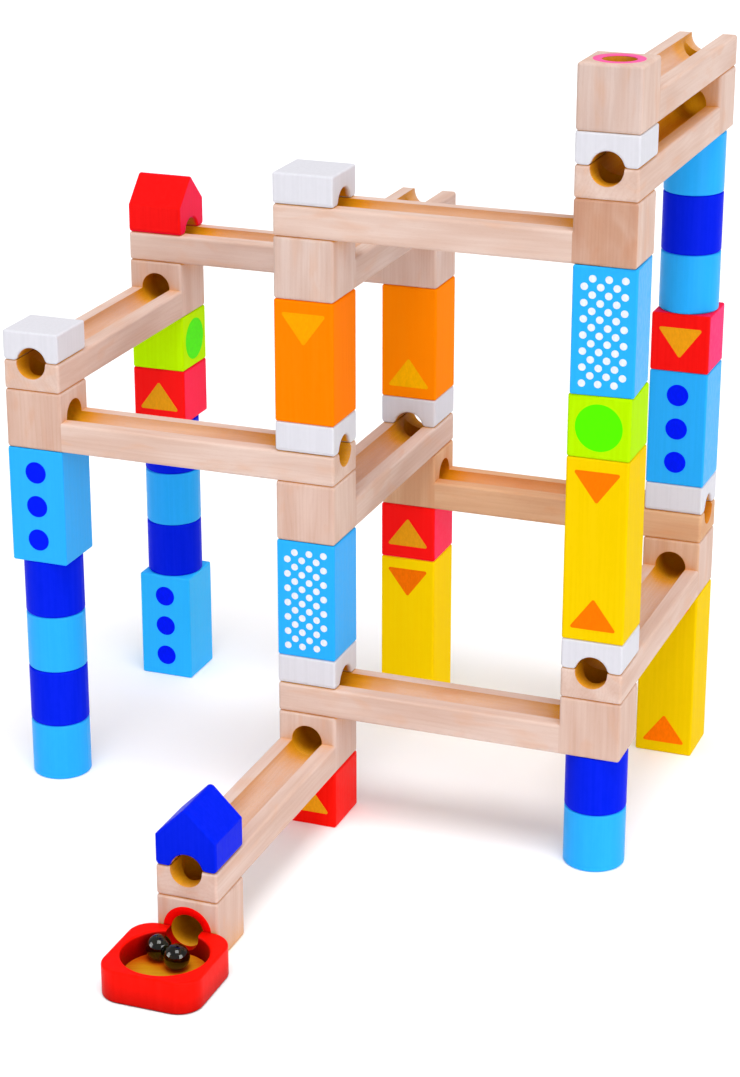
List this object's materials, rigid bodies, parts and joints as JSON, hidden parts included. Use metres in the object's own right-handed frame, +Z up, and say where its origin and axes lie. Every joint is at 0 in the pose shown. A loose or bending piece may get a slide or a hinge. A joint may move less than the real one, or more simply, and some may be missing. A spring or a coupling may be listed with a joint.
{
  "type": "marble run",
  "caption": "Wooden marble run of stacked painted blocks and grooved tracks that zigzag down to an exit block and a catch tray with glass marbles.",
  "frame": {"origin": "on the floor, at the centre of the footprint with the tray included; the middle column stands on x = 0", "axes": "+Z up, +X to the right and +Y to the back, with the tray at the front (-Y)"},
  "size_m": [0.4249, 0.488, 0.52],
  "materials": {
    "beech": "bare beech, fine sanded",
    "tray_floor_wood": "bare wood disc, oiled",
    "white_paint": "wood with matt white paint",
    "red_paint": "wood with satin red paint",
    "orange_paint": "wood with satin orange paint",
    "yellow_paint": "wood with satin yellow paint",
    "lime_paint": "wood with satin lime paint",
    "light_blue_paint": "wood with satin light blue paint",
    "dark_blue_paint": "wood with satin dark blue paint",
    "marble_glass": "dark tinted glass"
  },
  "bodies": {
    "columns": {"exit_block": "beech", "red_cube_c": "red_paint", "yellow_block_e": "yellow_paint", "red_cube_e": "red_paint", "yellow_block_g": "yellow_paint", "dark_cylinders": "dark_blue_paint", "light_cylinders": "light_blue_paint", "dot_block_a": "light_blue_paint", "dot_block_b": "light_blue_paint", "red_cube_b": "red_paint", "green_cube_b": "lime_paint"},
    "track_12": {"start_block_12": "beech", "track_beam_12": "beech"},
    "track_11": {"start_block_11": "beech", "track_beam_11": "beech", "cap_c_low": "white_paint", "speckled_block_c": "light_blue_paint"},
    "track_10": {"start_block_10": "beech", "track_beam_10": "beech", "cap_f_low": "white_paint", "yellow_block_f": "yellow_paint", "green_cube_f": "lime_paint", "speckled_block_f": "light_blue_paint"},
    "track_09": {"start_block_09": "beech", "track_beam_09": "beech", "cap_g": "white_paint", "dot_block_g": "light_blue_paint", "red_cube_g": "red_paint", "light_cylinders_g": "light_blue_paint", "dark_cylinder_g": "dark_blue_paint"},
    "track_08": {"start_block_08": "beech", "track_beam_08": "beech", "cap_e": "white_paint", "orange_block_e": "orange_paint"},
    "track_07": {"start_block_07": "beech", "track_beam_07": "beech", "cap_c_mid": "white_paint", "orange_block_c": "orange_paint"},
    "track_06": {"start_block_06": "beech", "track_beam_06": "beech"},
    "track_05": {"start_block_05": "beech", "track_beam_05": "beech"},
    "track_04": {"start_block_04": "beech", "track_beam_04": "beech"},
    "track_03": {"start_block_03": "beech", "track_beam_03": "beech"},
    "track_02": {"start_block_02": "beech", "track_beam_02": "beech", "cap_f_top": "white_paint"},
    "track_01": {"start_block_01": "beech", "track_beam_01": "beech"},
    "blue_roof": {"blue_roof": "dark_blue_paint"},
    "red_roof": {"red_roof": "red_paint"},
    "cap_a": {"cap_a": "white_paint"},
    "cap_c_top": {"cap_c_top": "white_paint"},
    "tray": {"tray": "red_paint", "tray_floor": "tray_floor_wood"},
    "marble_1": {"marble_1": "marble_glass"},
    "marble_2": {"marble_2": "marble_glass"}
  },
  "joints": [
    {"name": "track_12_lift", "type": "slide", "parent": "columns", "child": "track_12", "axis": [0, 0, 1], "range_m": [0, 0.03]},
    {"name": "track_11_lift", "type": "slide", "parent": "track_12", "child": "track_11", "axis": [0, 0, 1], "range_m": [0, 0.03]},
    {"name": "track_10_lift", "type": "slide", "parent": "track_11", "child": "track_10", "axis": [0, 0, 1], "range_m": [0, 0.03]},
    {"name": "track_09_lift", "type": "slide", "parent": "track_10", "child": "track_09", "axis": [0, 0, 1], "range_m": [0, 0.03]},
    {"name": "track_08_lift", "type": "slide", "parent": "track_09", "child": "track_08", "axis": [0, 0, 1], "range_m": [0, 0.03]},
    {"name": "track_07_lift", "type": "slide", "parent": "track_08", "child": "track_07", "axis": [0, 0, 1], "range_m": [0, 0.03]},
    {"name": "track_06_lift", "type": "slide", "parent": "track_07", "child": "track_06", "axis": [0, 0, 1], "range_m": [0, 0.03]},
    {"name": "track_05_lift", "type": "slide", "parent": "track_06", "child": "track_05", "axis": [0, 0, 1], "range_m": [0, 0.03]},
    {"name": "track_04_lift", "type": "slide", "parent": "track_05", "child": "track_04", "axis": [0, 0, 1], "range_m": [0, 0.03]},
    {"name": "track_03_lift", "type": "slide", "parent": "track_04", "child": "track_03", "axis": [0, 0, 1], "range_m": [0, 0.03]},
    {"name": "track_02_lift", "type": "slide", "parent": "track_03", "child": "track_02", "axis": [0, 0, 1], "range_m": [0, 0.03]},
    {"name": "track_01_lift", "type": "slide", "parent": "track_02", "child": "track_01", "axis": [0, 0, 1], "range_m": [0, 0.03]},
    {"name": "blue_roof_lift", "type": "slide", "parent": "track_12", "child": "blue_roof", "axis": [0, 0, 1], "range_m": [0, 0.05]},
    {"name": "red_roof_lift", "type": "slide", "parent": "track_05", "child": "red_roof", "axis": [0, 0, 1], "range_m": [0, 0.05]},
    {"name": "cap_a_lift", "type": "slide", "parent": "track_06", "child": "cap_a", "axis": [0, 0, 1], "range_m": [0, 0.03]},
    {"name": "cap_c_top_lift", "type": "slide", "parent": "track_03", "child": "cap_c_top", "axis": [0, 0, 1], "range_m": [0, 0.03]},
    {"name": "tray_slide", "type": "slide", "parent": "columns", "child": "tray", "axis": [0, -1, 0], "range_m": [0, 0.05]},
    {"name": "marble_1_lift", "type": "slide", "parent": "tray", "child": "marble_1", "axis": [0, 0, 1], "range_m": [0, 0.05]},
    {"name": "marble_2_lift", "type": "slide", "parent": "tray", "child": "marble_2", "axis": [0, 0, 1], "range_m": [0, 0.05]}
  ]
}
